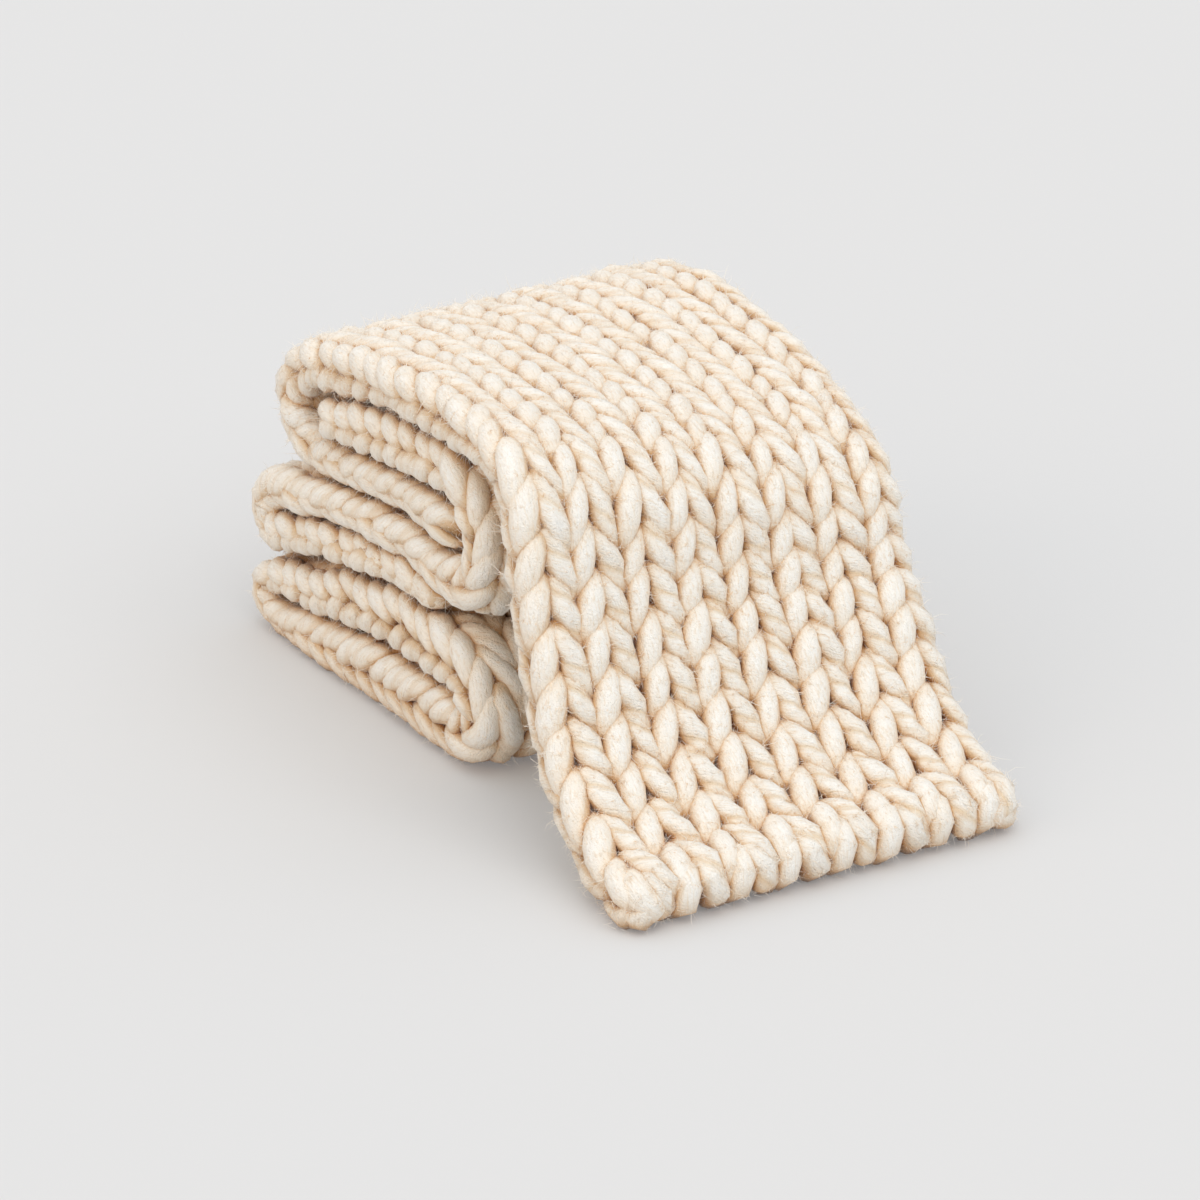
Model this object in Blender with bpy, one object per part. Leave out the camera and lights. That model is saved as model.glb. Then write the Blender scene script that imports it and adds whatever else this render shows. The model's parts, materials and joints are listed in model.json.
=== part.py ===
"""Folded chunky knit scarf, built as the stretches of cloth that show.

The scarf lies in a low pile. Its last stretch runs over the pile and drapes down to the floor.
X is the direction of the folds, towards the hem of the drape. Y is across the cloth. Z is up.
Each stretch is swept along its fold line as a closed section: a stitched outer face, rounded
selvedges with a column of stitches of their own, and a plain inner face.
"""

import math
from typing import NamedTuple

import bpy
import numpy as np

MM = 0.001

# The cloth
CLOTH_WIDTH = 206 * MM
SELVEDGE = 12.5 * MM  # depth of the rounded edge
FLAT_HALF = CLOTH_WIDTH / 2 - SELVEDGE  # half the flat width between the selvedges
FACE_WALES = 7  # full columns of stitches on a face; one more turns round each selvedge
WALE = 2 * FLAT_HALF / FACE_WALES
ROW = 22.2 * MM  # height of one row of stitches
RELIEF = 4.5 * MM  # how far a stitch stands above the grooves
SEAM = 0.4 * MM  # gap between neighbouring stretches

# One stitch. A phase of 0 is its foot, towards the hem, and 1 is its head.
LEG_FOOT = 0.40  # a leg's crest at the foot, as a share of the column's width
LEG_LEAN = 0.24  # how far the crest moves outward by the head, as such a share
HOLLOW = 0.3  # height between the legs at the foot, as a share of the relief
LEG_LOWEST = 0.35  # height that every part of a leg has, as a share of the relief
LEG_ARCH = (0.12, 0.92)  # stretch of a half wave that the rest of the height follows

# One stitch of a selvedge's column
RIM_SHOULDER = math.radians(68)  # where it meets the faces, as an angle round the edge
RIM_LEG_FOOT = math.radians(20)  # a leg's crest at the foot
RIM_LEG_LEAN = math.radians(30)  # how far the crest moves outward by the head
RIM_HOLLOW = 0.35  # height between the legs, as a share of theirs
RIM_SHOULDER_HEIGHT = 0.3  # as a share of the relief
LOBE_INSET = 0.4 * MM  # how far a layer's edge stays inside its share of the thickness

# A rounded end
TIP_SHARE = 0.2  # thickness left at the tip
TIP_SECTIONS = (0.1, 0.3)  # distance of extra sections from the tip, as shares of the radius
TIP_NARROWING = 0.35  # share of the selvedge drawn in at the tip

INNER_POINTS = 4  # across the plain inner face
SHARP_ANGLE = math.radians(50)

# Where the cloth lies, measured at its near selvedge
PILE_SHIFT_Y = 11 * MM  # the pile's middle line
HEM_SHIFT_Y = -3 * MM  # the hem's middle line
SHEAR_START_X = 30 * MM
SHEAR_LENGTH = 170 * MM
ORIGIN_X = 22.4 * MM  # middle of the footprint in fold coordinates
ORIGIN_Y = 4.1 * MM

# Fold lines: middle of the cloth at the near selvedge, in millimetres, with the cloth's thickness.
DRAPE = (
    # x, z, thickness
    (215, 12.3, 25),  # hem, flat on the floor
    (203, 12.3, 25),
    (188, 13.8, 25),
    (173, 19, 25),
    (157, 28, 25),  # foot of the slope
    (141, 40, 25),
    (128, 55, 25),
    (118.5, 73, 25),  # steep stretch
    (110.5, 91, 25),
    (103, 109, 25),
    (96.5, 128, 25),
    (91, 147, 25),
    (78, 161.5, 25),  # shoulder
    (55, 167.5, 25),
    (22, 168, 25),  # top of the pile
    (-12, 166.5, 25),
    (-48, 161.5, 25),
    (-82, 155, 25),
    (-110, 147.5, 25),
    (-129, 139, 25),  # back fold
    (-137, 126, 25),
    (-131, 112.5, 24),
    (-113, 106, 21),  # tucked run under the second layer
    (-83, 108, 18),
    (-45, 113.5, 17),
    (-12, 116, 18),
    (12, 115.5, 20),
    (29, 114, 19),
)
UPPER = (
    # x, z, thickness
    (-168, 62, 42),  # back end of the middle layers
    (-150, 63.5, 43),
    (-135, 67, 44),
    (-112, 72.7, 40),
    (-80, 78.7, 37.5),
    (-45, 83.8, 36),
    (-10, 86, 36),
    (16, 86, 33),
    (37, 93.5, 27),
    (46, 113.5, 25),  # front fold
    (38, 132, 25),
    (18, 141, 25.5),
    (-8, 140.2, 25.5),
    (-45, 136.2, 25.5),
    (-80, 130, 22.5),
    (-105, 127, 17),  # nested end
)
LOWER = (
    # x, z, thickness
    (58, 31, 58),  # front end
    (30, 31.7, 61),
    (8, 33.4, 66.4),
    (-22, 33.7, 67.7),
    (-52, 31.7, 63.6),
    (-84, 27.7, 55.8),
    (-115, 22.7, 46),
    (-138, 20, 40.5),
    (-152, 18.7, 38),
    (-170, 18.5, 37),  # back end
)

# How the far selvedge differs from the near one
FAR_SIDE = (
    # x in millimetres, share of the height lost, slide along x in millimetres
    (-180, -0.04, 0),
    (-125, -0.04, 0),
    (-78, 0.0, 0),
    (-30, 0.08, 0),
    (30, 0.17, -2),
    (70, 0.23, -10),
    (95, 0.23, -13),
    (112, 0.19, -12),
    (128, 0.06, -7),
    (150, 0.03, -4),
    (215, 0.0, -6),
)

# Seams between stretches of one fold line: x and z in millimetres
SHOULDER_SEAM = (55, 167.5)
TUCK_SEAM = (-113, 106)
TURN_SEAM = (16, 86)

WOOL = (0.86, 0.78, 0.66, 1.0)


class Style(NamedTuple):
    """How a stretch is stitched and edged."""

    stitches: str  # what the outer face shows: legs, bumps or plain
    per_row: int  # sections for each row of stitches
    lobes: int  # layers that show at the selvedge
    groove: float  # depth of the groove between them


FULL = Style("legs", 4, 1, 0.0)
FOLDED = Style("bumps", 3, 1, 0.0)
TUCKED = Style("plain", 3, 1, 0.0)
PAIR = Style("bumps", 3, 2, 5 * MM)
STACK = Style("bumps", 3, 2, 9 * MM)


def smoothstep(x):
    x = np.clip(x, 0.0, 1.0)
    return x * x * (3 - 2 * x)


class FoldLine:
    """A smooth line through a table's points, read by the distance along it."""

    SAMPLES = 24  # for each span of the table
    STEP = 0.5 * MM  # for reading the line's direction

    def __init__(self, table):
        rows = np.array(table, float) * MM
        ends = np.vstack([2 * rows[0] - rows[1], rows, 2 * rows[-1] - rows[-2]])
        spans = [self.span(ends[i : i + 4]) for i in range(len(rows) - 1)]
        self.points = np.vstack([*spans, rows[-1:]])
        steps = np.linalg.norm(np.diff(self.points[:, :2], axis=0), axis=1)
        self.along = np.concatenate([[0.0], np.cumsum(steps)])
        self.length = self.along[-1]

    def span(self, four):
        """Centripetal Catmull-Rom between the middle two of four points."""
        knots = [0.0]
        for a, b in zip(four[:-1], four[1:]):
            knots.append(knots[-1] + math.sqrt(np.linalg.norm(b[:2] - a[:2])))
        t = np.linspace(knots[1], knots[2], self.SAMPLES, endpoint=False)[:, None]

        def between(p, q, i, j):
            return ((knots[j] - t) * p + (t - knots[i]) * q) / (knots[j] - knots[i])

        a1, a2, a3 = (between(four[i], four[i + 1], i, i + 1) for i in range(3))
        b1, b2 = between(a1, a2, 0, 2), between(a2, a3, 1, 3)
        return between(b1, b2, 1, 2)

    def read(self, distance):
        """x, z and thickness at a distance along the line."""
        return [np.interp(distance, self.along, self.points[:, k]) for k in range(3)]

    def at(self, distance):
        """Place (x, z), outward normal and thickness at a distance along the line."""
        x, z, thick = self.read(distance)
        xa, za, _ = self.read(distance - self.STEP)
        xb, zb, _ = self.read(distance + self.STEP)
        run = np.array([xb - xa, zb - za])
        run /= np.linalg.norm(run)
        return np.array([x, z]), np.array([run[1], -run[0]]), thick

    def distance_to(self, x_mm, z_mm):
        """Distance along the line of its point nearest to a place given in millimetres."""
        offsets = self.points[:, :2] - np.array([x_mm, z_mm]) * MM
        return self.along[np.argmin((offsets**2).sum(axis=1))]


def place(xz, across):
    """A point of the fold's section, at a distance across the cloth, put in space."""
    x, z = xz
    table = np.array(FAR_SIDE)
    far = across / CLOTH_WIDTH + 0.5
    drop = np.interp(x / MM, table[:, 0], table[:, 1])
    slide = np.interp(x / MM, table[:, 0], table[:, 2]) * MM
    sheared = smoothstep((x - SHEAR_START_X) / SHEAR_LENGTH)
    middle = PILE_SHIFT_Y + (HEM_SHIFT_Y - PILE_SHIFT_Y) * sheared
    return (x + slide * far, across + middle, max(z * (1 - drop * far), 0.0))


def leg_height(phase):
    """Height of a stitch's leg, as a share of the relief."""
    first, last = LEG_ARCH
    arch = math.sin(math.pi * (first + (last - first) * phase))
    return LEG_LOWEST + (1 - LEG_LOWEST) * arch


def face_points(half, phase, stitches):
    """(across, out) along the outer face, from the near selvedge to the far one.

    "legs" raises both legs of each stitch, "bumps" one bump for each, and "plain" none.
    """
    relief = min(RELIEF, half / 2)
    crest = half - relief * (1 - leg_height(phase))
    groove = half if stitches == "plain" else half - relief
    lean = LEG_LEAN * phase
    points = []
    for wale in range(FACE_WALES):
        start = -FLAT_HALF + wale * WALE
        points.append((start, groove))
        if stitches == "bumps":
            points.append((start + WALE / 2, crest))
        if stitches == "legs":
            points += [
                (start + (LEG_FOOT - lean) * WALE, crest),
                (start + WALE / 2, groove + HOLLOW * relief * (1 - phase)),
                (start + (1 - LEG_FOOT + lean) * WALE, crest),
            ]
    return [*points, (FLAT_HALF, groove)]


def rim_points(middle, lobe_half, phase):
    """(out of the flat part, up) round the edge of one layer, from its top to its underside."""
    base = SELVEDGE - RELIEF
    crest = RIM_LEG_FOOT + RIM_LEG_LEAN * phase
    height = RELIEF * leg_height(phase)
    shoulder = base * math.cos(RIM_SHOULDER) + RIM_SHOULDER_HEIGHT * RELIEF
    outline = (
        (RIM_SHOULDER, shoulder),
        (crest, (base + height) * math.cos(crest)),
        (0.0, base + RIM_HOLLOW * height),
        (-crest, (base + height) * math.cos(crest)),
        (-RIM_SHOULDER, shoulder),
    )
    return [(out, middle + (lobe_half - LOBE_INSET) * math.sin(angle)) for angle, out in outline]


def selvedge_points(half, phase, lobes, groove):
    """(out of the flat part, up) round the edge, from the outer face to the inner one."""
    lobe_half = half / lobes
    points = []
    for lobe in range(lobes):
        middle = half - (2 * lobe + 1) * lobe_half
        if lobe:
            points.append((SELVEDGE - groove, middle + lobe_half))
        points += rim_points(middle, lobe_half, phase)
    return points


def section(line, distance, style, squeeze):
    """One closed section, as points in space. squeeze below 1 narrows it towards a rounded end."""
    centre, normal, thick = line.at(distance)
    half = thick / 2 * squeeze
    phase = (distance / ROW) % 1.0
    rim = selvedge_points(half, phase, style.lobes, style.groove * squeeze)
    edge = FLAT_HALF - SELVEDGE * TIP_NARROWING * (1 - squeeze)
    flat = [
        *face_points(half, phase, style.stitches),
        *((edge + out, up) for out, up in rim),
        *((across, -half) for across in np.linspace(FLAT_HALF, -FLAT_HALF, INNER_POINTS)),
        *((-edge - out, up) for out, up in reversed(rim)),
    ]
    return [place(centre + normal * out, across) for across, out in flat]


def stations(start, end, per_row, radii):
    """Distances of the sections from start to end, with more of them in each rounded end."""
    step = ROW / per_row
    distances = [start, end]
    for tip, radius in ((start, radii[0]), (end, -radii[1])):
        distances += [tip + radius * share for share in TIP_SECTIONS if radius]
    clear = TIP_SECTIONS[-1] * step
    whole = range(math.ceil(start / step), math.floor(end / step) + 1)
    distances += [k * step for k in whole if all(abs(k * step - d) > clear for d in distances)]
    return sorted(distances)


def rounded(radius, from_tip):
    """Share of its thickness that a section keeps, at a distance from a rounded end's tip."""
    if from_tip >= radius:
        return 1.0
    return max(math.sqrt(1 - (1 - from_tip / radius) ** 2), TIP_SHARE)


def loft(name, sections, material, collection, parent):
    """A closed mesh through the sections, with a flat face at each end."""
    count = len(sections[0])
    last = (len(sections) - 1) * count
    points = [point for one in sections for point in one]
    faces = [
        (row + j, row + (j + 1) % count, row + count + (j + 1) % count, row + count + j)
        for row in range(0, last, count)
        for j in range(count)
    ]
    faces.append(tuple(reversed(range(count))))
    faces.append(tuple(range(last, last + count)))
    mesh = bpy.data.meshes.new(name)
    mesh.from_pydata(points, [], faces)
    mesh.shade_smooth()
    mesh.set_sharp_from_angle(angle=SHARP_ANGLE)
    mesh.materials.append(material)
    obj = bpy.data.objects.new(name, mesh)
    collection.objects.link(obj)
    obj.parent = parent


def stretch(name, line, start, end, style, round_ends, context):
    """One stretch of the cloth between two distances along its fold line."""
    radii = [line.at(d)[2] / 2 if turned else 0.0 for d, turned in zip((start, end), round_ends)]
    sections = []
    for distance in stations(start, end, style.per_row, radii):
        squeeze = min(rounded(radii[0], distance - start), rounded(radii[1], end - distance))
        sections.append(section(line, distance, style, squeeze))
    loft(name, sections, *context)


def wool_material():
    material = bpy.data.materials.new("cream_wool")
    material.use_nodes = True
    shader = material.node_tree.nodes["Principled BSDF"]
    shader.inputs["Base Color"].default_value = WOOL
    shader.inputs["Roughness"].default_value = 0.95
    shader.inputs["Metallic"].default_value = 0.0
    return material


def main():
    for obj in list(bpy.data.objects):
        bpy.data.objects.remove(obj)
    collection = bpy.data.collections.new("knit_scarf")
    bpy.context.scene.collection.children.link(collection)
    frame = bpy.data.objects.new("scarf_frame", None)
    frame.location = (-ORIGIN_X, -ORIGIN_Y, 0)
    collection.objects.link(frame)
    context = (wool_material(), collection, frame)

    over = FoldLine(DRAPE)
    upper = FoldLine(UPPER)
    lower = FoldLine(LOWER)
    shoulder = round(over.distance_to(*SHOULDER_SEAM) / ROW) * ROW
    tuck = over.distance_to(*TUCK_SEAM)
    turn = upper.distance_to(*TURN_SEAM)
    half = SEAM / 2

    stretch("drape", over, 0.0, shoulder - half, FULL, (True, False), context)
    stretch("top_layer", over, shoulder + half, tuck - half, FULL, (False, False), context)
    stretch("tucked_run", over, tuck + half, over.length, TUCKED, (False, True), context)
    stretch("middle_layers", upper, 0.0, turn - half, PAIR, (True, False), context)
    stretch("front_turn", upper, turn + half, upper.length, FOLDED, (False, True), context)
    stretch("bottom_layers", lower, 0.0, lower.length, STACK, (True, True), context)


main()
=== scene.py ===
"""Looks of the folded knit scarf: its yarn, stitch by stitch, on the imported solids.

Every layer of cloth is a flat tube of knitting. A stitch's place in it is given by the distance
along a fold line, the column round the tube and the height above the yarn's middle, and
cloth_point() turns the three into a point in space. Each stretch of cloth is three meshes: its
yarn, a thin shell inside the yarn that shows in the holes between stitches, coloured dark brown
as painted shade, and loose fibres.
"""

import json
import math

import bpy
import numpy as np
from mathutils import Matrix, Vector

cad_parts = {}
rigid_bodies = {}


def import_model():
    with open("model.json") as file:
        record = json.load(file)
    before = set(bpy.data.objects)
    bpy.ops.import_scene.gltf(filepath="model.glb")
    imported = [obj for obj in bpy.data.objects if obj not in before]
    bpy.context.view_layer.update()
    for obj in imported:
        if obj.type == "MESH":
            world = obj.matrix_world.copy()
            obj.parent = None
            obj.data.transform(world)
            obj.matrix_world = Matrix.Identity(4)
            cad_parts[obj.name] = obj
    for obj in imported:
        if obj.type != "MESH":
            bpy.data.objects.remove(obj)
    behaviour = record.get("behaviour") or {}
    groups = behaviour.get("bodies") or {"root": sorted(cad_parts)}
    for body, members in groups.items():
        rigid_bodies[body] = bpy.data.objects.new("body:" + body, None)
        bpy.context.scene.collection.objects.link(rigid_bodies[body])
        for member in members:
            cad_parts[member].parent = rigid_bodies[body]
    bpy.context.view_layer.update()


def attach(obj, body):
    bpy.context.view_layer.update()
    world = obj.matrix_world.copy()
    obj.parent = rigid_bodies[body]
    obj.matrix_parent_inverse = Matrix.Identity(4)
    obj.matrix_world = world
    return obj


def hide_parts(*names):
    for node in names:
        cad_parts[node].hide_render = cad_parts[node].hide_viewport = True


MM = 0.001
SEED = 11

# The cloth, as in the part's source
CLOTH_WIDTH = 206 * MM
SELVEDGE = 12.5 * MM
FLAT_HALF = CLOTH_WIDTH / 2 - SELVEDGE
ROW = 22.2 * MM
PILE_SHIFT_Y = 11 * MM
HEM_SHIFT_Y = -3 * MM
SHEAR_START_X = 30 * MM
SHEAR_LENGTH = 170 * MM
ORIGIN_X = 22.4 * MM
ORIGIN_Y = 4.1 * MM
FAR_SIDE = (
    # x in millimetres, share of the height lost, slide along x in millimetres
    (-180, -0.04, 0),
    (-125, -0.04, 0),
    (-78, 0.0, 0),
    (-30, 0.08, 0),
    (30, 0.17, -2),
    (70, 0.23, -10),
    (95, 0.23, -13),
    (112, 0.19, -12),
    (128, 0.06, -7),
    (150, 0.03, -4),
    (215, 0.0, -6),
)

# Fold lines of the layers, with each layer's thickness, in millimetres
DRAPE = (
    # x, z, thickness
    (203, 12.3, 25),  # hem, flat on the floor
    (188, 13.8, 25),
    (173, 19, 25),
    (157, 28, 25),
    (141, 40, 25),
    (128, 55, 25),
    (118.5, 73, 25),
    (110.5, 91, 25),
    (103, 109, 25),
    (96.5, 128, 25),
    (91, 147, 25),
    (78, 161.5, 25),  # shoulder
    (55, 167.5, 25),
    (22, 168, 25),
    (-12, 166.5, 25),
    (-48, 161.5, 25),
    (-82, 155, 25),
    (-110, 147.5, 25),
    (-129, 139, 25),  # back fold
    (-137, 126, 25),
    (-131, 112.5, 24),
    (-113, 106, 21),
    (-83, 108, 18),
    (-45, 113.5, 17),
    (-12, 116, 18),
    (12, 115.5, 20),
    (20, 115, 19),
)
MIDDLE = (
    # x, z, thickness
    (2, 75, 13),  # lower layer, its end inside the front turn
    (-10, 75.6, 15),
    (-45, 74.8, 18),
    (-80, 69.3, 18.8),
    (-112, 62.7, 20),
    (-135, 56, 22),
    (-147, 52.8, 21.5),
    (-157.5, 63.3, 21),  # back fold
    (-147, 74, 21.5),
    (-135, 78, 22),
    (-112, 82.7, 20),
    (-80, 88.1, 18.8),
    (-45, 92.8, 18),
    (-10, 93.6, 20.9),
    (16, 89.6, 25.7),
    (37, 93.5, 27),
    (46, 113.5, 25),  # front fold
    (38, 132, 25),
    (18, 141, 25.5),
    (-8, 140.2, 25.5),
    (-45, 136.2, 25.5),
    (-80, 130, 22.5),
    (-97, 127.6, 18),
)
BOTTOM = (
    # x, z, thickness; a closed loop
    (-148, 9.5, 19),  # lower layer
    (-115, 11.2, 23),
    (-84, 13.8, 27.9),
    (-52, 15.8, 31.8),
    (-22, 16.8, 33.8),
    (8, 16.8, 33.2),
    (30, 16.5, 30.5),
    (43.5, 31, 29),  # front fold
    (30, 46.9, 30.5),
    (8, 50, 33.2),
    (-22, 50.6, 33.8),
    (-52, 47.6, 31.8),
    (-84, 41.7, 27.9),
    (-115, 34.2, 23),
    (-148, 28.4, 19),  # upper layer
    (-161, 19, 18.5),  # back fold
)
PILE_SPREAD = 6 * MM  # how far the near edge of the lower layers stands out at the pile's back
SPREAD_SHARES = ((-160 * MM, 40 * MM), (1.0, -0.2))  # x of two places, and the share of it there

# Places on the fold lines, x and z in millimetres, where more or less of the cloth starts to show
SHOULDER = (55, 167.5)  # the drape's upper end
TUCK = (-113, 106)  # where the cloth goes in under the top layer
MIDDLE_BACK = ((-125, 59), (-125, 80))  # both ends of the middle layers' back fold
TURN_START = (10, 90)  # from here round the front turn
TURN_END = (20, 141)
BOTTOM_FRONT = ((25, 17), (5, 50))  # both ends of the bottom layers' front fold
BOTTOM_BACK = (-135, 31)  # from here round their back fold

# Rows and columns of stitches
COLUMNS = 16  # round the tube: 0 is the near selvedge, 8 the far one, 1 to 7 the front face
QUARTER = COLUMNS // 4
FACE_COLUMNS = 7
# First and last column that are knitted in a row, by what shows of it
ALL_ROUND = (0, 15)
FRONT = (-1, 9)
BACK = (7, 17)
NEAR_EDGE = (-1, 1)
FAR_EDGE = (7, 9)
HEM_FRONT = (0, 8)
DRAPE_PITCHES = (
    # x, z, distance from row to row, in millimetres: the drape's own weight draws its rows out
    (203, 12.3, 22.2),
    (103, 109, 22.2),
    (55, 167.5, 16),
    (20, 115, 16),
)
MIDDLE_PITCHES = ((2, 75, 14.5), (-97, 127.6, 14.5))
BOTTOM_PITCHES = ((-148, 9.5, 14.5), (-161, 19, 14.5))
HEM_DROP = 0.41  # how far the lowest stitches are drawn down to the hem, in rows
HEM_ROWS = 3  # rows that share it
TURNED_ROW = -1.05  # the row that turns under the hem
LEAST_CURL = 4 * MM  # least radius of the yarn's turn round a hem
LEAST_FACE = 1.5 * MM  # least height of a face's yarn above the cloth's middle
SEAM = 2 * MM  # left open where the bottom layers' loop closes
FLOOR_GAP = 0.2 * MM

# A stitch
STITCH_HEIGHT = 2.1  # in rows
STITCH_LEAN = 0.285  # how far the legs lean, in columns
STITCH_CURVE = 0.04  # how much their ends stand up again, in columns
STITCH_DEPTH = 3.0 * MM
LEG_TILT = 0.45 * MM  # how far a leg's upper end stands in front of the foot above it
LEG_TILT_PEAK = 0.385  # greatest value of the curve that tilts the leg
SMOOTH_LEG = (0.44, 0.56, 1.1)  # width at the ends, what the middle adds, power of its curve
PLIED_LEG = (0.54, 0.50, 0.8)
PLY_CHANGE = 1.5  # how suddenly a smooth leg turns into a plied one
FADE = 1.5  # power by which depth, taper and plies fade where the rows are close
THINNING = 0.2  # power by which the yarn thins there
LOOSENESS = 1.3  # how much more uneven the stitches are there

# The yarn
YARN_RADIUS = 7.15 * MM
YARN_REACH = 6.8 * MM  # from the yarn's middle to the cloth's outside
YARN_SPREAD = 1.02  # how much wider than deep the yarn lies in the cloth
PLIES = 2
PLY_OFFSET = 0.33  # of the yarn's radius
PLY_RADIUS = 0.72
PLY_SHARES = (0.15, 0.6)  # of the plies' shape on every leg, and what a plied leg adds
TWIST_LENGTH = 33 * MM  # for one turn of the yarn's two plies
TWIST_SHARES = (0.3, 0.7)  # of the twist on every leg, and what a plied leg adds
WAVES = (1, 2, 3)  # harmonics of the unevenness along a row
COLUMN_WOBBLE = (0.03, 2.3)  # size in columns, period in columns
ROW_WOBBLE = (0.8 * MM, 1.7)
DEPTH_WOBBLE = (0.4 * MM, 1.3)
WIDTH_WOBBLE = (0.045, 1.9)  # size in yarn radii
LUMPS = 0.022  # unevenness of the yarn's section, in its radius
LUMP_WAVES = (
    # wavelength / 2 pi, lumps round the yarn
    (5.3 * MM, 1),
    (7.9 * MM, 2),
    (3.7 * MM, 3),
)
SAMPLES = 22  # rings of yarn for each stitch
SIDES = 12
PROBE = 0.5 * MM  # step that finds the cloth's outward direction
LEAST_STEP = 1e-9  # least length that a direction along the yarn is divided by
TINY = 1e-12  # keeps a vector of no length from being divided by zero
UV_LENGTH = 10 * MM  # of yarn, for each unit of u

# The inside of the cloth, a thin shell coloured dark brown as painted shade
CORE_STEP = 8 * MM
CORE_LEAST_STEPS = 4
CORE_SIDES = 2 * COLUMNS
CORE_HEIGHTS = (0.5 * MM, -0.8 * MM)  # of its outer and inner wall, from the yarn's middle

# Loose fibres
FIBRE_WIDTH = 0.26 * MM
STRAY_LENGTH = 5.0 * MM
DOWN_LENGTH = 2.7 * MM
STRAY_WIDTHS = (1.0, 0.8)  # at the root and at the bend, in fibre widths
DOWN_WIDTHS = (1.0,)
FIBRE_LIFT = (0.1, 0.7)  # least and greatest share of the yarn's normal in a fibre's direction
FIBRE_SCATTER = 0.9  # share of a random direction
FIBRE_CURL = 0.45
FIBRE_VARIETY = 0.45  # spread of the logarithm of the lengths
FIBRE_LONGEST = 2.2  # in usual lengths
ROOT_DEPTH = 0.4 * MM
ROOT_SCATTER = 0.6 * MM
FIBRE_DENSITY = 1.5  # how thickly they grow at height 0, and 1 more for each millimetre up
FIBRE_DENSITIES = (0.3, 3.5)  # least and greatest

# Colours and finish of the wool, with painted shade in its creases and holes
WHITE = (1.0, 1.0, 1.0)
CREST_HEIGHTS = (-0.5, 10.2)  # millimetres, from the yarn's foot, painted darkest with shade, to its palest crest
CREST_AND_PAINTED_SHADE = (
    # share of that height, colour
    (0.0, (0.20, 0.10, 0.035)),
    (0.22, (0.46, 0.28, 0.13)),
    (0.45, (0.79, 0.62, 0.43)),
    (0.68, (0.938, 0.884, 0.795)),
    (1.0, (0.955, 0.957, 0.932)),
)
PATCH_SCALE = 90.0
PATCH_TINT = (0.965, 0.91, 0.84)
STRAND_STRETCH = (1.5, 20.0, 1.0)  # strands run along the yarn
STRAND_SCALE = 1.6
STREAK_RANGE = (0.50, 0.72)  # of the strands' noise, from no streak to a full one
STREAK_TINT = (0.89, 0.79, 0.665)
VALLEY_RANGE = (0.45, 0.0)  # of the plies' height, from no painted shade in the groove to the full one
PLY_GROOVE_SHADE = (0.89, 0.77, 0.62)
HOLLOW_REACH = 9 * MM  # how near other yarn has to be for painted shade, warm and dark, in a crease
CREASE_PAINTED_SHADE = (
    # share of the surroundings that is open, colour
    (0.10, (0.34, 0.17, 0.065)),
    (0.45, (0.88, 0.665, 0.435)),
    (0.85, WHITE),
)
NOOK_REACH = 45 * MM  # how near other layers have to be for painted warm shade between them
NOOK_PAINTED_SHADE = ((0.12, (0.93, 0.77, 0.60)), (0.66, WHITE))
NAP_SCALE = 1100.0
NAP_BUMP = (0.7, 1.3 * MM)  # strength, height
STRAND_BUMP = (0.5, 1.5 * MM)
PLY_BUMP = (0.5, 2.5 * MM)
SHEEN_TINT = (1.0, 0.94, 0.86)
# Painted shade of the inside shell: dark brown mottling
CORE_GRAIN = 400.0
CORE_PAINTED_SHADE = ((0.0, (0.13, 0.065, 0.026)), (1.0, (0.36, 0.20, 0.095)))
FIBRE_COLOUR = (0.94, 0.90, 0.83)
FIBRE_GLOW = (0.95, 0.90, 0.82)  # of the light that shines through
FIBRE_GLOW_SHARE = 0.45

# Camera, fitted to the photo
SENSOR = 36.0  # millimetres
LENS = 169.5
VIEW_AZIMUTH = 60.6  # degrees
VIEW_ELEVATION = 23.5
VIEW_DISTANCE = 2.6  # metres
AIM_Z = 0.06
CLIP_END = 20.0
PHOTO_SIZE = 1200  # pixels
SHIFT_PIXELS = (4.0, -13.0)

# Stage
FLOOR_HALF = 12.0  # half its width, in metres
FLOOR_COLOUR = (0.53, 0.53, 0.527)
FLOOR_GLOW = 0.15
SKY_COLOUR = (0.992, 1.0, 1.02)
SKY_STRENGTH = (0.49, 1.2)  # at the horizon and overhead
SUNS = (
    # name, direction that the light comes from, energy, spread in degrees, colour
    ("key", (0.8, 0.12, 1.0), 0.78, 50, (0.99, 1.0, 1.0)),
    ("fill", (0.1, -1.0, 0.3), 0.74, 60, (1.0, 0.79, 0.58)),  # the floor throws back warm light
)


def smoothstep(x):
    x = np.clip(x, 0.0, 1.0)
    return x * x * (3 - 2 * x)


def unit(vectors):
    return vectors / (np.linalg.norm(vectors, axis=-1)[..., None] + TINY)


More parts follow.
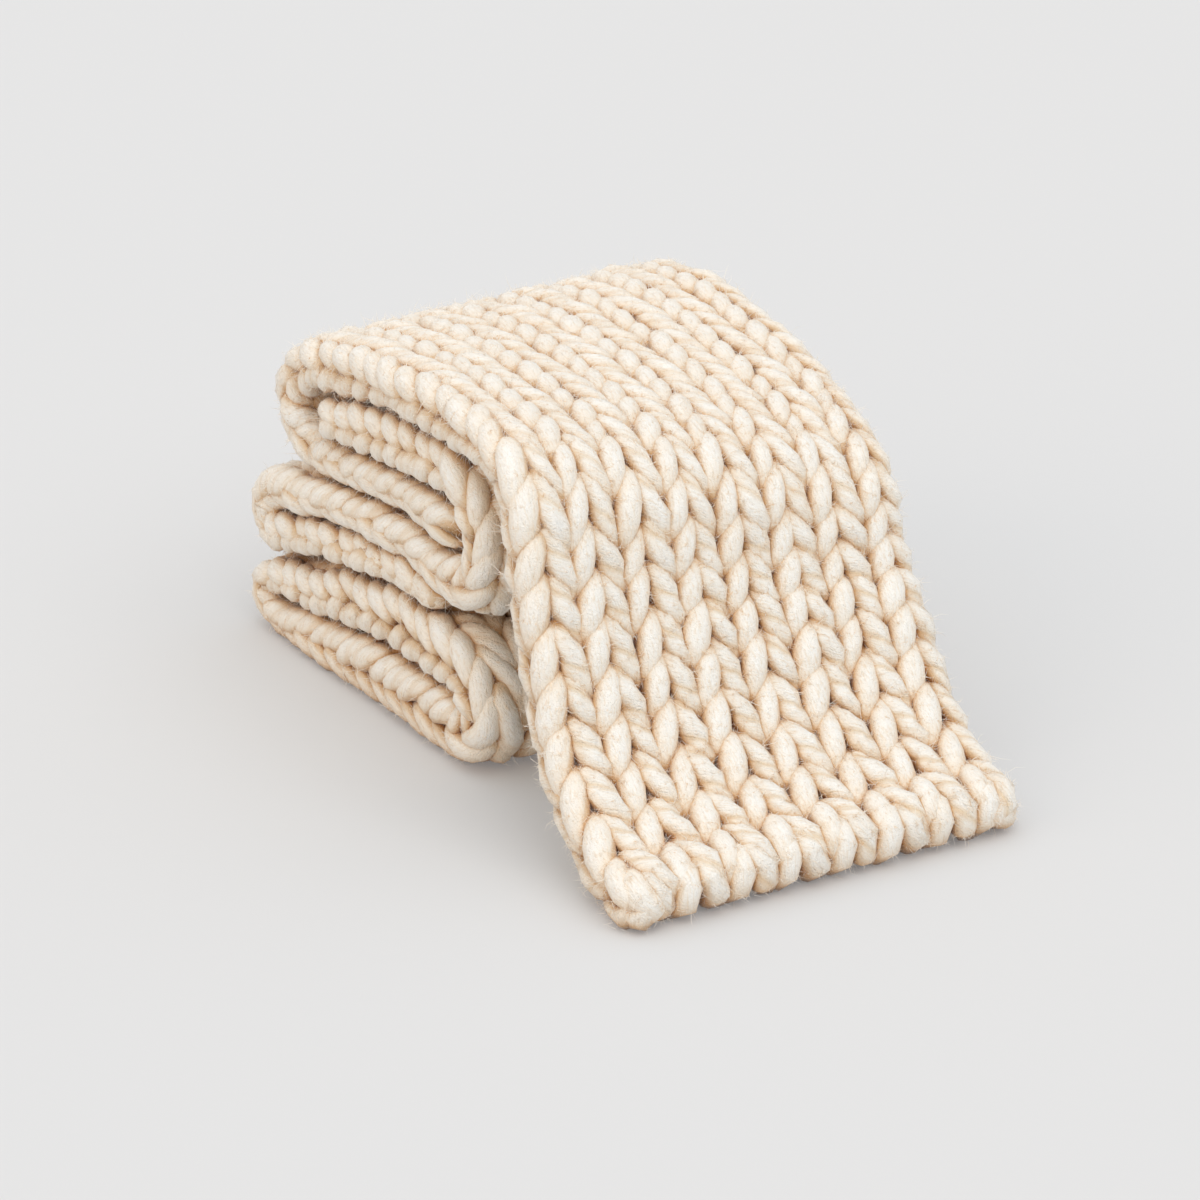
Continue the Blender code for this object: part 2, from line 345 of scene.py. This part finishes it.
class FoldLine:
    """A smooth line through a table's points, divided into rows of stitches.

    pitches are (x, z, distance from row to row), in millimetres. spread is how far the near edge
    stands out at the pile's back.
    """

    SPAN_SAMPLES = 24  # points on the line for each point of the table

    def __init__(self, table, pitches, closed=False, spread=0.0):
        self.closed = closed
        self.spread = spread
        rows = np.array(table, float) * MM
        if closed:
            rows = np.vstack([rows, rows[:1]])
            ends = np.vstack([rows[-2:-1], rows, rows[1:2]])
        else:
            ends = np.vstack([2 * rows[0] - rows[1], rows, 2 * rows[-1] - rows[-2]])
        spans = [self.span(ends[i : i + 4]) for i in range(len(rows) - 1)]
        self.points = np.vstack([*spans, rows[-1:]])
        steps = np.linalg.norm(np.diff(self.points[:, :2], axis=0), axis=1)
        self.along = np.concatenate([[0.0], np.cumsum(steps)])
        self.length = self.along[-1]
        run = np.gradient(self.points[:, :2], self.along, axis=0)
        if closed:
            run[0] = run[-1] = run[0] + run[-1]
        self.run = run / np.linalg.norm(run, axis=1)[:, None]
        self.lay_rows(pitches)

    def span(self, four):
        """Points between the second and third of four, on the curve that runs through them all."""
        knots = [0.0]
        for a, b in zip(four[:-1], four[1:]):
            knots.append(knots[-1] + math.sqrt(np.linalg.norm(b[:2] - a[:2])))
        t = np.linspace(knots[1], knots[2], self.SPAN_SAMPLES, endpoint=False)[:, None]

        def between(p, q, i, j):
            return ((knots[j] - t) * p + (t - knots[i]) * q) / (knots[j] - knots[i])

        a1, a2, a3 = (between(four[i], four[i + 1], i, i + 1) for i in range(3))
        b1, b2 = between(a1, a2, 0, 2), between(a2, a3, 1, 3)
        return between(b1, b2, 1, 2)

    def read(self, distance):
        """Places (x, z), directions (x, z) and thicknesses at distances along the line."""
        if self.closed:
            distance = distance % self.length
        values = [np.interp(distance, self.along, self.points[:, k]) for k in range(3)]
        run = np.stack([np.interp(distance, self.along, self.run[:, k]) for k in range(2)], -1)
        run /= np.linalg.norm(run, axis=-1)[..., None]
        return np.stack(values[:2], -1), run, values[2]

    def distance_to(self, x_mm, z_mm):
        offsets = self.points[:, :2] - np.array([x_mm, z_mm]) * MM
        return self.along[np.argmin((offsets**2).sum(axis=1))]

    def lay_rows(self, pitches):
        places = [self.distance_to(*row[:2]) for row in pitches]
        pitch = np.interp(self.along, places, [row[2] * MM for row in pitches])
        rows = np.concatenate([[0.0], np.cumsum(np.diff(self.along) / pitch[1:])])
        self.row_count = round(rows[-1])
        self.row_starts = np.interp(
            np.arange(self.row_count + 1), rows * self.row_count / rows[-1], self.along
        )

    def row_at(self, x_mm, z_mm):
        distance = self.distance_to(x_mm, z_mm)
        return round(np.interp(distance, self.row_starts, np.arange(self.row_count + 1)))

    def at_row(self, row):
        """Distances along the line at rows, which may go on past its ends, and their pitches."""
        starts = self.row_starts
        pitches = np.diff(starts)
        distance = np.interp(row, np.arange(self.row_count + 1), starts)
        distance += np.minimum(row, 0) * pitches[0]
        distance += np.maximum(row - self.row_count, 0) * pitches[-1]
        return distance, np.interp(row, np.arange(self.row_count) + 0.5, pitches)


def place(x, z, across):
    """Points of a fold line's section in space, at distances across the cloth from its middle."""
    table = np.array(FAR_SIDE)
    far = across / CLOTH_WIDTH + 0.5
    drop = np.interp(x / MM, table[:, 0], table[:, 1])
    slide = np.interp(x / MM, table[:, 0], table[:, 2]) * MM
    sheared = smoothstep((x - SHEAR_START_X) / SHEAR_LENGTH)
    shift_y = PILE_SHIFT_Y + (HEM_SHIFT_Y - PILE_SHIFT_Y) * sheared
    z = np.maximum(z * (1 - drop * far), FLOOR_GAP)
    return np.stack([x + slide * far - ORIGIN_X, across + shift_y - ORIGIN_Y, z], -1)


def cloth_point(line, distance, column, height):
    """Points in space at distances along the fold line, columns round the tube and heights.

    Past an end of the line the cloth turns round it, from one face to the other. Also returns
    the share of its full thickness that the cloth has at each point.
    """
    distance, column, height = np.broadcast_arrays(distance, column, height)
    held = distance if line.closed else np.clip(distance, 0.0, line.length)
    past = distance - held
    spot, run, thick = line.read(held)
    half = thick / 2
    face = np.maximum(half - YARN_REACH, LEAST_FACE)
    squash = np.minimum(half / (face + YARN_REACH), 1.0)
    # side is 1 nearer the near selvedge and -1 nearer the far one, and turn counts the columns
    # from that selvedge, which is half a circle
    turned = (column + QUARTER) % COLUMNS
    near = turned < 2 * QUARTER
    side = np.where(near, 1.0, -1.0)
    turn = np.where(near, turned - QUARTER, turned - 3 * QUARTER)
    angle = np.clip(turn, -0.5, 0.5) * math.pi
    edge = -(SELVEDGE - YARN_REACH + height) * np.cos(angle)
    flat = np.maximum(np.abs(turn) - 0.5, 0.0) * (2 * FLAT_HALF / FACE_COLUMNS)
    up = (face + height) * np.sin(angle) * side * squash
    lean = np.clip(np.abs(past) / np.maximum(face + STITCH_DEPTH, LEAST_CURL), 0, math.pi)
    beyond = np.hypot(edge, up) * np.sin(lean) * np.sign(past)
    across = (-FLAT_HALF + flat + edge * np.cos(lean)) * side
    spread = line.spread * np.interp(spot[..., 0], *SPREAD_SHARES)
    across = across - spread * (0.5 - across / CLOTH_WIDTH)
    up = up * np.cos(lean)
    normal = np.stack([run[..., 1], -run[..., 0]], -1)
    xz = spot + normal * up[..., None] + run * beyond[..., None]
    return place(xz[..., 0], xz[..., 1], across), squash


def stitch_path(tau, first):
    """Where a row's yarn runs, for places tau along it, which are in columns.

    Returns its column, its place along the cloth in rows, its height, its width in yarn widths,
    and how much the plies show: 1 on the left legs and 0 on the right ones. Each stitch is two
    legs. Its feet are at the column's edges and its head at the middle, both behind the legs,
    and a leg's upper end lies in front of the foot of the stitch above.
    """
    t = 2 * math.pi * (tau - (first - 0.5))
    lean = STITCH_LEAN * np.sin(2 * t) + STITCH_CURVE * np.sin(4 * t)
    along = -np.cos(t) * STITCH_HEIGHT / 2
    leg = np.sin(t) ** 2
    height = -STITCH_DEPTH * np.cos(2 * t) - LEG_TILT * np.cos(t) * leg / LEG_TILT_PEAK
    ropy = smoothstep(0.5 + PLY_CHANGE * np.sin(t))
    smooth, plied = (end + more * leg**power for end, more, power in (SMOOTH_LEG, PLIED_LEG))
    return tau + lean, along, height, smooth + (plied - smooth) * ropy, ropy


def twist_angles(length, ropy, closed, rng):
    """Angle that the plies have turned at each ring of yarn, from the length of yarn up to it."""
    share, more = TWIST_SHARES
    rate = np.diff(length, axis=1, append=length[:, -1:]) * (share + more * ropy) / TWIST_LENGTH
    turns = np.cumsum(rate, axis=1)
    if closed:
        turns *= np.round(turns[:, -1:] * PLIES) / PLIES / turns[:, -1:]
    return -2 * math.pi * turns + rng.uniform(0, 2 * math.pi, (len(turns), 1))


def yarn_section(angle, turned, length, ropy, rng):
    """Radius of the yarn in each direction, in yarn radii: the outline of its plies, and lumps."""
    off_ply = (turned * PLIES + math.pi) % (2 * math.pi) / PLIES - math.pi / PLIES
    beside = PLY_OFFSET * np.sin(off_ply)
    section = PLY_OFFSET * np.cos(off_ply) + np.sqrt(PLY_RADIUS**2 - beside**2)
    share, more = PLY_SHARES
    section = 1 + (section - 1) * (share + more * ropy)[..., None]
    for wave, folds in LUMP_WAVES:
        phase = rng.uniform(0, 2 * math.pi, (len(length), 1, 1))
        section = section + LUMPS * np.sin(length[..., None] / wave + folds * angle + phase)
    return section


def yarn_courses(line, rows, first, last, rng):
    """Yarn of several rows of stitches, from column first to column last (both included).

    Returns points (rows, rings, sides, 3), and for each point its height in the cloth, how much
    the plies show, how far along the yarn it is and how far round, turning with the plies.
    """
    count = last - first + 1
    closed = count == COLUMNS
    tau = np.linspace(first - 0.5, last + 0.5, count * SAMPLES + 1)
    if closed:
        tau = tau[:-1]
    rows = np.asarray(rows, float)

    def wobble(size, period):
        """Smooth seeded unevenness along each row."""
        total = np.zeros((len(rows), len(tau)))
        for n in WAVES:
            waves = max(round(count * n / period), 1)
            phase = rng.uniform(0, 2 * math.pi, (len(rows), 1))
            total += np.sin(2 * math.pi * (tau[None] - first) * waves / count + phase) / n
        return size * total

    column, along, level, width, ropy = stitch_path(tau, first)
    distance, pitch = line.at_row(rows[:, None] + 0.5 + along)
    short = np.minimum(pitch / ROW, 1.0)
    fade = short**FADE
    loose = 1 + LOOSENESS * (1 - short)
    ropy = ropy * fade
    column = column + loose * wobble(*COLUMN_WOBBLE)
    distance = distance + loose * wobble(*ROW_WOBBLE)
    height = level * fade + loose * wobble(*DEPTH_WOBBLE)
    width = 1 - (1 - width) * fade
    radius = YARN_RADIUS * width * (1 + loose * wobble(*WIDTH_WOBBLE)) * short**THINNING

    centre, squash = cloth_point(line, distance, column, height)
    outward = unit(cloth_point(line, distance, column, height + PROBE)[0] - centre)
    if closed:
        run = np.roll(centre, -1, axis=1) - np.roll(centre, 1, axis=1)
    else:
        run = np.gradient(centre, axis=1)
    tangent = run / np.maximum(np.linalg.norm(run, axis=-1)[..., None], LEAST_STEP)
    side = unit(np.cross(tangent, outward))
    up = np.cross(side, tangent)
    steps = np.linalg.norm(np.diff(centre, axis=1), axis=-1)
    length = np.concatenate([np.zeros((len(rows), 1)), np.cumsum(steps, axis=1)], axis=1)

    angle = np.linspace(-math.pi, math.pi, SIDES, endpoint=False)[None, None]
    turned = angle - twist_angles(length, ropy, closed, rng)[..., None]
    section = yarn_section(angle, turned, length, ropy, rng)
    offset = (
        np.cos(angle)[..., None] * up[:, :, None] + np.sin(angle)[..., None] * side[:, :, None]
    ) * (radius[..., None] * section)[..., None]
    lift = (offset * outward[:, :, None]).sum(-1)
    upright = lift[..., None] * outward[:, :, None]
    offset = YARN_SPREAD * (offset - upright) + squash[:, :, None, None] * upright
    points = centre[:, :, None] + offset
    points[..., 2] = np.maximum(points[..., 2], FLOOR_GAP)
    rise = level[:, None] + lift
    return (
        points,
        rise,
        np.broadcast_to(ropy[..., None], rise.shape),
        np.broadcast_to(length[..., None], rise.shape),
        turned / (2 * math.pi),
    )


def tube_faces(tubes, rings, sides, closed):
    """Quads of tubes with points in order of tube, ring and side. closed joins their ends.

    Also returns 1 for each corner that is a full lap round from its point, and 0 for the others.
    """
    last = rings if closed else rings - 1
    r, i, j = np.meshgrid(np.arange(tubes), np.arange(last), np.arange(sides), indexing="ij")
    next_i, next_j = (i + 1) % rings, (j + 1) % sides
    base = r * rings
    a = (base + i) * sides + j
    b = (base + i) * sides + next_j
    c = (base + next_i) * sides + next_j
    d = (base + next_i) * sides + j
    lap = (j == sides - 1).astype(float)
    laps = np.stack([0 * lap, lap, lap, 0 * lap], -1)
    return np.stack([a, b, c, d], -1).reshape(-1, 4), laps.reshape(-1, 4)


def new_piece(name, points, faces, material, attributes=(), uv=None):
    """A piece of the scarf, from arrays of points and faces, with float attributes and UVs.

    The faces all have three corners or all have four.
    """
    mesh = bpy.data.meshes.new(name)
    mesh.vertices.add(len(points))
    mesh.vertices.foreach_set("co", points.astype(np.float32).ravel())
    mesh.loops.add(faces.size)
    mesh.loops.foreach_set("vertex_index", faces.astype(np.int32).ravel())
    mesh.polygons.add(len(faces))
    starts = np.arange(0, faces.size, faces.shape[1], dtype=np.int32)
    mesh.polygons.foreach_set("loop_start", starts)
    mesh.update(calc_edges=True)
    mesh.shade_smooth()
    for label, values in attributes:
        layer = mesh.attributes.new(label, "FLOAT", "POINT")
        layer.data.foreach_set("value", values.astype(np.float32).ravel())
    if uv is not None:
        layer = mesh.uv_layers.new(name="yarn")
        layer.data.foreach_set("uv", uv.astype(np.float32).ravel())
    mesh.materials.append(material)
    obj = bpy.data.objects.new(name, mesh)
    bpy.context.scene.collection.objects.link(obj)
    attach(obj, "root")
    return obj


def knit(name, parts, material, rng):
    """One mesh of yarn. parts are (fold line, rows, (first column, last column))."""
    points, faces, rises, plies, uvs = [], [], [], [], []
    base = 0
    for line, rows, (first, last) in parts:
        closed = last - first + 1 == COLUMNS
        p, rise, ropy, along, around = yarn_courses(line, rows, first, last, rng)
        f, laps = tube_faces(p.shape[0], p.shape[1], SIDES, closed)
        uv = np.stack([along.ravel()[f] / UV_LENGTH, around.ravel()[f] + laps], -1)
        points.append(p.reshape(-1, 3))
        rises.append(rise.ravel())
        plies.append(ropy.ravel())
        uvs.append(uv.reshape(-1, 2))
        faces.append(f + base)
        base += len(points[-1])
    points, faces, uvs = np.vstack(points), np.vstack(faces), np.vstack(uvs)
    attributes = [("rise", np.concatenate(rises) / MM), ("plies", np.concatenate(plies))]
    return new_piece(name, points, faces, material, attributes, uvs)


def core(name, line, start, end, material):
    """The inside of the cloth, which shows in the holes: a flat tube with a thin wall, which its
    material paints dark as shade.
    """
    steps = max(int((end - start) / CORE_STEP), CORE_LEAST_STEPS)
    distance = np.linspace(start, end, steps)[:, None]
    column = np.linspace(0, COLUMNS, CORE_SIDES, endpoint=False)[None]
    outer, inner = (cloth_point(line, distance, column, height)[0] for height in CORE_HEIGHTS)
    rings = np.concatenate([outer, inner[::-1]])
    faces = tube_faces(1, rings.shape[0], rings.shape[1], closed=True)[0]
    return new_piece(name, rings.reshape(-1, 3), faces, material)


def fibres(spots, normals, length, widths, rng):
    """Points and triangles of fibres that grow at spots, each a strip that narrows to a point.

    widths are the strip's widths where it starts and where it bends, in fibre widths.
    """
    count, bends = len(spots), len(widths)
    lift = rng.uniform(*FIBRE_LIFT, (count, 1))
    heading = unit(normals * lift + unit(rng.normal(0, 1, (count, 3))) * FIBRE_SCATTER)
    length = length * np.minimum(rng.lognormal(0.0, FIBRE_VARIETY, (count, 1)), FIBRE_LONGEST)
    side = unit(np.cross(heading, rng.normal(0, 1, (count, 3))))
    curl = rng.normal(0, FIBRE_CURL, (count, 3))
    spot = spots - ROOT_DEPTH * normals + rng.normal(0, ROOT_SCATTER, (count, 3))
    joints = []
    for width in widths:
        half = FIBRE_WIDTH / 2 * width * side
        joints += [spot - half, spot + half]
        spot = spot + heading * length / bends
        heading = unit(heading + curl)
    points = np.stack([*joints, spot], 1)
    tip = 2 * bends
    pattern = [(tip - 2, tip - 1, tip)]
    for j in range(0, tip - 2, 2):
        pattern += [(j, j + 1, j + 3), (j, j + 3, j + 2)]
    faces = np.arange(count)[:, None, None] * (tip + 1) + np.array(pattern)[None]
    return points.reshape(-1, 3), faces.reshape(-1, 3)


def fuzz(name, yarn, strays, down, material, rng):
    """Loose fibres of a piece of yarn, in one mesh: strays that bend once and short straight down.

    They grow thickest where the yarn stands out.
    """
    mesh = yarn.data
    size = len(mesh.vertices)
    spots, normals, rise = np.empty(size * 3), np.empty(size * 3), np.empty(size)
    mesh.vertices.foreach_get("co", spots)
    mesh.vertices.foreach_get("normal", normals)
    mesh.attributes["rise"].data.foreach_get("value", rise)
    spots, normals = spots.reshape(-1, 3), normals.reshape(-1, 3)
    density = np.clip(rise + FIBRE_DENSITY, *FIBRE_DENSITIES)
    points, faces = [], []
    base = 0
    kinds = ((strays, STRAY_LENGTH, STRAY_WIDTHS), (down, DOWN_LENGTH, DOWN_WIDTHS))
    for count, length, widths in kinds:
        chosen = rng.choice(size, count, p=density / density.sum())
        p, f = fibres(spots[chosen], normals[chosen], length, widths, rng)
        points.append(p)
        faces.append(f + base)
        base += len(p)
    points, faces = np.vstack(points), np.vstack(faces)
    points[:, 2] = np.maximum(points[:, 2], FLOOR_GAP)
    return new_piece(name, points, faces, material)


def rgba(colour):
    return (*colour, 1.0)


class Nodes:
    """The nodes of a material or world. Inputs are numbers, colours or other nodes' outputs."""

    def __init__(self, owner):
        owner.use_nodes = True
        self.tree = owner.node_tree

    def fill(self, node, inputs):
        for socket, value in inputs.items():
            if isinstance(value, bpy.types.NodeSocket):
                self.tree.links.new(value, node.inputs[socket])
            else:
                node.inputs[socket].default_value = value

    def add(self, kind, inputs, **settings):
        node = self.tree.nodes.new("ShaderNode" + kind)
        for setting, value in settings.items():
            setattr(node, setting, value)
        self.fill(node, inputs)
        return node

    def attribute(self, name):
        return self.add("Attribute", {}, attribute_name=name).outputs["Fac"]

    def noise(self, inputs):
        return self.add("TexNoise", inputs).outputs["Fac"]

    def math(self, operation, *values):
        return self.add("Math", dict(enumerate(values)), operation=operation).outputs["Value"]

    def remap(self, value, limits):
        """0 where value is the first limit, 1 where it is the second, and clamped."""
        low, high = limits
        inputs = {"Value": value, "From Min": low, "From Max": high}
        return self.add("MapRange", inputs).outputs["Result"]

    def ramp(self, value, shades, interpolation="LINEAR"):
        """A colour for each value. shades are (value, colour)."""
        node = self.add("ValToRGB", {"Fac": value})
        node.color_ramp.interpolation = interpolation
        elements = node.color_ramp.elements
        for element, (position, colour) in zip(elements, (shades[0], shades[-1])):
            element.position = position
            element.color = rgba(colour)
        for position, colour in shades[1:-1]:
            elements.new(position).color = rgba(colour)
        return node.outputs["Color"]

    def multiply(self, colour, tint, share=1.0):
        inputs = {"Factor": share, "A": colour, "B": tint}
        return self.add("Mix", inputs, data_type="RGBA", blend_type="MULTIPLY").outputs["Result"]

    def openness(self, reach, samples):
        """Share of the surroundings that is open: 1 where nothing is within reach."""
        node = self.add("AmbientOcclusion", {"Distance": reach}, samples=samples)
        return node.outputs["AO"]

    def bump(self, inputs, size):
        strength, distance = size
        node = self.add("Bump", {"Strength": strength, "Distance": distance, **inputs})
        return node.outputs["Normal"]


def new_material(name, finish):
    """A material, its nodes and its shader, with the shader's own sockets set to finish."""
    material = bpy.data.materials.new(name)
    nodes = Nodes(material)
    shader = nodes.tree.nodes["Principled BSDF"]
    nodes.fill(shader, finish)
    return material, nodes, shader


def fibre_material():
    """Fine pale fibres that let light through."""
    finish = {"Base Color": rgba(FIBRE_COLOUR), "Roughness": 0.8}
    material, nodes, shader = new_material("wool_fibre", finish)
    glow = nodes.add("BsdfTranslucent", {"Color": rgba(FIBRE_GLOW)})
    mixed = {"Fac": FIBRE_GLOW_SHARE, 1: shader.outputs["BSDF"], 2: glow.outputs["BSDF"]}
    surface = nodes.add("MixShader", mixed).outputs["Shader"]
    nodes.fill(nodes.tree.nodes["Material Output"], {"Surface": surface})
    return material


def yarn_material():
    """Cream wool: painted shade that leaves the crests pale and the creases warm and dark, darker
    strands along the yarn, and a soft nap.
    """
    finish = {
        "Roughness": 0.92,
        "Sheen Weight": 0.7,
        "Sheen Roughness": 0.45,
        "Sheen Tint": rgba(SHEEN_TINT),
        "Specular IOR Level": 0.15,
    }
    material, nodes, shader = new_material("wool_yarn", finish)
    uv = nodes.add("UVMap", {}, uv_map="yarn").outputs["UV"]
    position = nodes.add("TexCoord", {}).outputs["Object"]
    plies = nodes.attribute("plies")

    # Painted shade: the wool's own cream on the crests, darker tan and brown lower down, where shade
    # falls
    colour = nodes.ramp(nodes.remap(nodes.attribute("rise"), CREST_HEIGHTS), CREST_AND_PAINTED_SHADE, "EASE")
    patches = nodes.noise({"Vector": position, "Scale": PATCH_SCALE, "Detail": 3.0})
    colour = nodes.multiply(colour, rgba(PATCH_TINT), patches)

    stretched = nodes.add("Mapping", {"Vector": uv, "Scale": STRAND_STRETCH}).outputs["Vector"]
    strands = nodes.noise(
        {"Vector": stretched, "Scale": STRAND_SCALE, "Detail": 5.0, "Roughness": 0.65}
    )
    colour = nodes.multiply(colour, rgba(STREAK_TINT), nodes.remap(strands, STREAK_RANGE))

    around = nodes.add("SeparateXYZ", {"Vector": uv}).outputs["Y"]
    turn = nodes.math("MULTIPLY", around, math.pi * PLIES)
    crown = nodes.math("ABSOLUTE", nodes.math("COSINE", turn))
    # Painted shade in the grooves between the plies
    groove_shade = nodes.math("MULTIPLY", nodes.remap(crown, VALLEY_RANGE), plies)
    colour = nodes.multiply(colour, rgba(PLY_GROOVE_SHADE), groove_shade)

    # Painted shade: creases turn warm tan and brown where other yarn is near
    crease_shade = nodes.ramp(nodes.openness(HOLLOW_REACH, samples=6), CREASE_PAINTED_SHADE, "EASE")
    colour = nodes.multiply(colour, crease_shade)
    # Painted shade: a warm tint where other layers are near, in place of light thrown between them
    nook_shade = nodes.ramp(nodes.openness(NOOK_REACH, samples=4), NOOK_PAINTED_SHADE)
    colour = nodes.multiply(colour, nook_shade)

    nap = nodes.noise({"Vector": position, "Scale": NAP_SCALE, "Detail": 2.0})
    normal = nodes.bump({"Height": nap}, NAP_BUMP)
    normal = nodes.bump({"Height": strands, "Normal": normal}, STRAND_BUMP)
    ridges = nodes.math("MULTIPLY", crown, plies)
    normal = nodes.bump({"Height": ridges, "Normal": normal}, PLY_BUMP)
    nodes.fill(shader, {"Base Color": colour, "Normal": normal})
    return material


def shade_shell_material():
    """Painted shade: dark brown, as the shaded inside of the cloth looks in the holes."""
    material, nodes, shader = new_material("wool_inside_painted_shade", {"Roughness": 1.0})
    colour = nodes.ramp(nodes.noise({"Scale": CORE_GRAIN}), CORE_PAINTED_SHADE)
    nodes.fill(shader, {"Base Color": colour})
    return material


def camera():
    data = bpy.data.cameras.new("camera")
    data.sensor_width = SENSOR
    data.lens = LENS
    data.clip_end = CLIP_END
    data.shift_x, data.shift_y = (pixels / PHOTO_SIZE for pixels in SHIFT_PIXELS)
    obj = bpy.data.objects.new("camera", data)
    bpy.context.scene.collection.objects.link(obj)
    azimuth, elevation = math.radians(VIEW_AZIMUTH), math.radians(VIEW_ELEVATION)
    level = math.cos(elevation)
    back = Vector((math.sin(azimuth) * level, -math.cos(azimuth) * level, math.sin(elevation)))
    obj.location = Vector((-ORIGIN_X, -ORIGIN_Y, AIM_Z)) + back * VIEW_DISTANCE
    obj.rotation_mode = "QUATERNION"
    obj.rotation_quaternion = (-back).to_track_quat("-Z", "Y")
    bpy.context.scene.camera = obj


def studio_floor():
    """A flat pale floor that fills the view."""
    finish = {
        "Base Color": rgba(FLOOR_COLOUR),
        "Roughness": 1.0,
        "Specular IOR Level": 0.0,
        "Emission Color": rgba(WHITE),
        "Emission Strength": FLOOR_GLOW,
    }
    material = new_material("studio", finish)[0]
    mesh = bpy.data.meshes.new("floor")
    corners = [(-1, -1), (1, -1), (1, 1), (-1, 1)]
    points = [(x * FLOOR_HALF, y * FLOOR_HALF, 0) for x, y in corners]
    mesh.from_pydata(points, [], [(0, 1, 2, 3)])
    mesh.materials.append(material)
    floor = bpy.data.objects.new("floor", mesh)
    bpy.context.scene.collection.objects.link(floor)


def studio_light():
    """Soft light from the sky, strongest overhead, and two wide suns."""
    world = bpy.data.worlds.new("studio")
    nodes = Nodes(world)
    direction = nodes.add("TexCoord", {}).outputs["Generated"]
    up = nodes.add("SeparateXYZ", {"Vector": direction}).outputs["Z"]
    horizon, overhead = SKY_STRENGTH
    limits = {"Value": up, "To Min": horizon, "To Max": overhead}
    strength = nodes.add("MapRange", limits).outputs["Result"]
    background = nodes.tree.nodes["Background"]
    nodes.fill(background, {"Color": rgba(SKY_COLOUR), "Strength": strength})
    bpy.context.scene.world = world
    for name, towards, energy, spread, colour in SUNS:
        sun = bpy.data.lights.new(name, "SUN")
        sun.energy = energy
        sun.angle = math.radians(spread)
        sun.color = colour
        obj = bpy.data.objects.new(name, sun)
        obj.rotation_mode = "QUATERNION"
        obj.rotation_quaternion = Vector(towards).to_track_quat("Z", "Y")
        bpy.context.scene.collection.objects.link(obj)
    bpy.context.scene.view_settings.view_transform = "Standard"


def edges(line, start, end):
    """Parts of yarn along both selvedges, where the other layers hide the rest."""
    rows = range(start, end)
    return [(line, rows, NEAR_EDGE), (line, rows, FAR_EDGE)]


for thing in list(bpy.data.objects):
    bpy.data.objects.remove(thing)
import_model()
camera()
studio_floor()
studio_light()
yarn_look = yarn_material()
shade_shell_look = shade_shell_material()
fibre_look = fibre_material()
rng = np.random.default_rng(SEED)

over = FoldLine(DRAPE, DRAPE_PITCHES)
middle = FoldLine(MIDDLE, MIDDLE_PITCHES, spread=PILE_SPREAD)
bottom = FoldLine(BOTTOM, BOTTOM_PITCHES, closed=True, spread=PILE_SPREAD)

shoulder = over.row_at(*SHOULDER)
tuck = over.row_at(*TUCK)
drape_rows = np.arange(shoulder, dtype=float)
drape_rows -= HEM_DROP * np.maximum(1 - drape_rows / HEM_ROWS, 0.0)
middle_back = [middle.row_at(*spot) for spot in MIDDLE_BACK]
turn_start, turn_end = middle.row_at(*TURN_START), middle.row_at(*TURN_END)
bottom_front = [bottom.row_at(*spot) for spot in BOTTOM_FRONT]
bottom_back = bottom.row_at(*BOTTOM_BACK)
YARN = {
    "drape": [
        (over, drape_rows[1:], ALL_ROUND),
        (over, [TURNED_ROW, drape_rows[0]], HEM_FRONT),
    ],
    "top": [(over, range(shoulder, tuck), FRONT)],
    "tucked": edges(over, tuck, over.row_count),
    "turn": [
        (middle, range(turn_start, turn_end), FRONT),
        *edges(middle, turn_end, middle.row_count),
    ],
    "middle": [
        *edges(middle, 0, middle_back[0]),
        (middle, range(*middle_back), BACK),
        *edges(middle, middle_back[1], turn_start),
    ],
    "bottom": [
        *edges(bottom, 0, bottom_front[0]),
        (bottom, range(*bottom_front), FRONT),
        *edges(bottom, bottom_front[1], bottom_back),
        (bottom, range(bottom_back, bottom.row_count), FRONT),
    ],
}
shoulder_at, tuck_at = over.row_starts[shoulder], over.row_starts[tuck]
turn_at = middle.distance_to(*TURN_START)
seam_at = bottom.length - SEAM
STRETCHES = (
    # name, node, fold line, start and end along it, how it is held, what it lies on, strays, down
    ("drape", "drape", over, 0.0, shoulder_at, "draped", ("turn_cloth", "floor"), 25000, 100000),
    ("top", "top_layer", over, shoulder_at, tuck_at, "folded", ("turn_cloth",), 18000, 74000),
    ("tucked", "tucked_run", over, tuck_at, over.length, "folded", ("turn_cloth",), 3000, 10000),
    ("turn", "front_turn", middle, turn_at, middle.length, "folded", ("middle_cloth",), 6000, 24000),
    ("middle", "middle_layers", middle, 0.0, turn_at, "folded", ("bottom_cloth",), 8000, 28000),
    ("bottom", "bottom_layers", bottom, 0.0, seam_at, "folded", ("floor",), 11000, 37000),
)
for name, node, line, start, end, held, rests_on, strays, down in STRETCHES:
    yarn = knit(f"{name}_yarn", YARN[name], yarn_look, rng)
    cloth = core(f"{name}_cloth", line, start, end, shade_shell_look)
    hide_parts(node)
    halo = fuzz(f"{name}_fuzz", yarn, strays, down, fibre_look, rng)
